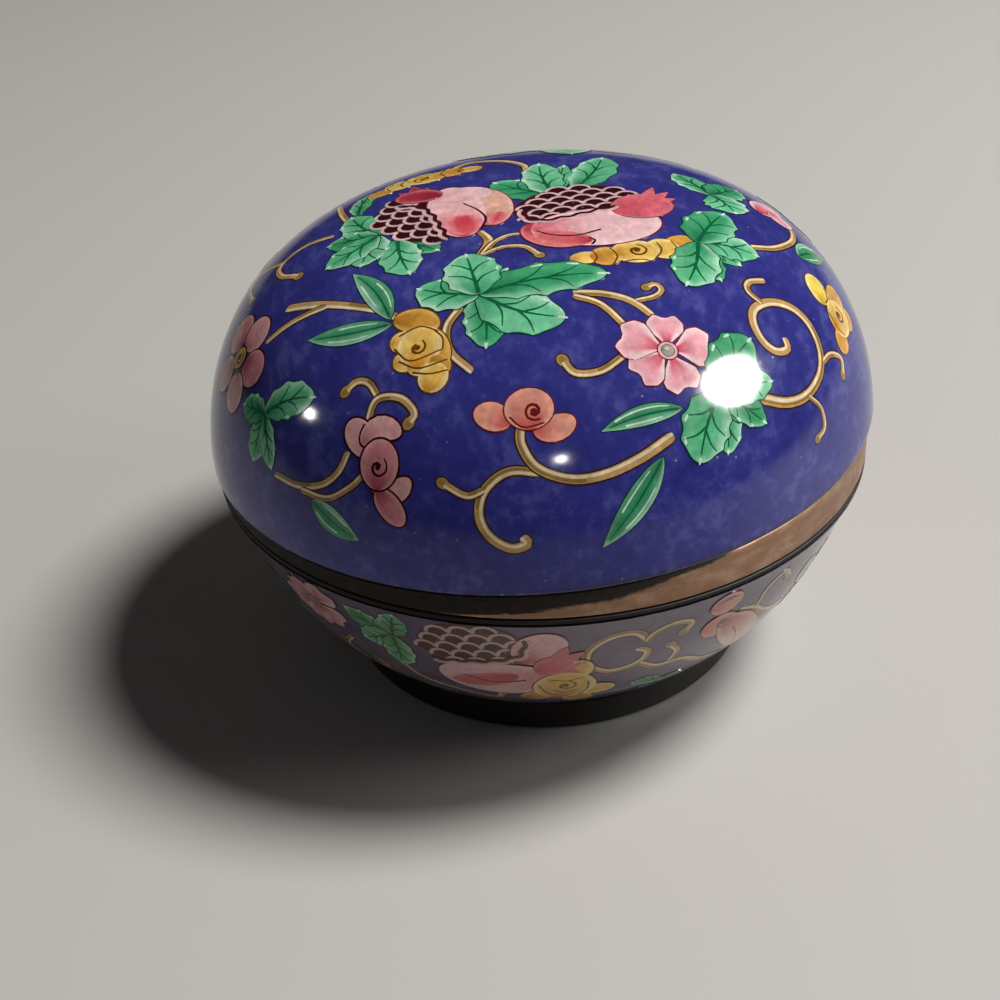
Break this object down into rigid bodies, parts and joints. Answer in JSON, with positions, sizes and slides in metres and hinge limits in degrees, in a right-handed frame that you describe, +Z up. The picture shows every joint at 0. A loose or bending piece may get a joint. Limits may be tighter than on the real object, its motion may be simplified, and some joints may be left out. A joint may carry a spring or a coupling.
{
  "type": "painted enamel covered box",
  "caption": "Round copper box, enamelled all over with fruit and flowers, with a deep domed lift-off lid, bare copper rim and low foot ring.",
  "frame": {"origin": "centre of the foot ring's underside, on the surface the box stands on", "axes": "+Z up through the lid's crown; the best decorated side faces -Y; the rim strip is tallest on the +X side"},
  "size_m": [0.0998, 0.1, 0.0704],
  "materials": {
    "lid_enamel": "glossy cobalt-blue vitreous enamel on copper, painted with fruit, leaves, flowers and gold scrolls",
    "rim_copper": "bare copper strip, worn tan with dark tarnish",
    "bowl_enamel": "glossy cobalt-blue vitreous enamel on copper, painted like the lid",
    "collar_copper": "bare copper, tarnished brown",
    "foot_copper": "bare copper, tarnished nearly black"
  },
  "bodies": {
    "root": {"lid_dome": "lid_enamel", "lid_rim_strip": "rim_copper", "bowl": "bowl_enamel", "bowl_rim_collar": "collar_copper", "foot_ring": "foot_copper"}
  },
  "joints": []
}
